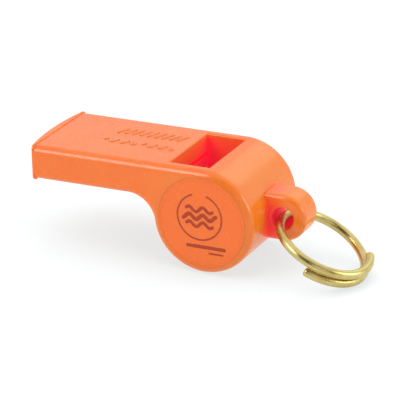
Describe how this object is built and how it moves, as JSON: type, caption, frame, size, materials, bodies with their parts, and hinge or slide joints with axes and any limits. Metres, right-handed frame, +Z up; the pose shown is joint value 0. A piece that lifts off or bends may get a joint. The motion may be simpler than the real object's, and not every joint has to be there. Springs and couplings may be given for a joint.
{
  "type": "pea whistle",
  "caption": "Moulded plastic pea whistle with a round barrel, flat mouthpiece, sound window, rear lug and a brass split ring.",
  "frame": {"origin": "middle of the bottom of the whole part's box, on the level that the split ring's lowest point touches", "axes": "+X from the mouthpiece to the split ring, +Z up through the sound window, the side plug faces -Y; the barrel's axis runs along Y"},
  "size_m": [0.0774, 0.0254, 0.0255],
  "materials": {
    "orange_plastic": "moulded, semi-gloss, slightly translucent",
    "brass_wire": "polished, lightly tarnished",
    "cork": "natural cork, matte"
  },
  "bodies": {
    "whistle": {"whistle_body": "orange_plastic", "side_plug": "orange_plastic"},
    "pea": {"cork_pea": "cork"},
    "ring": {"split_ring": "brass_wire"}
  },
  "joints": [
    {"name": "pea_roll", "type": "hinge", "parent": "whistle", "child": "pea", "pos_m": [0.00412, 0, 0.01331], "axis": [0, 1, 0], "continuous": true},
    {"name": "ring_swing", "type": "hinge", "parent": "whistle", "child": "ring", "pos_m": [0.01942, 0, 0.01331], "axis": [0, 1, 0], "range_deg": [-138, 76]}
  ]
}
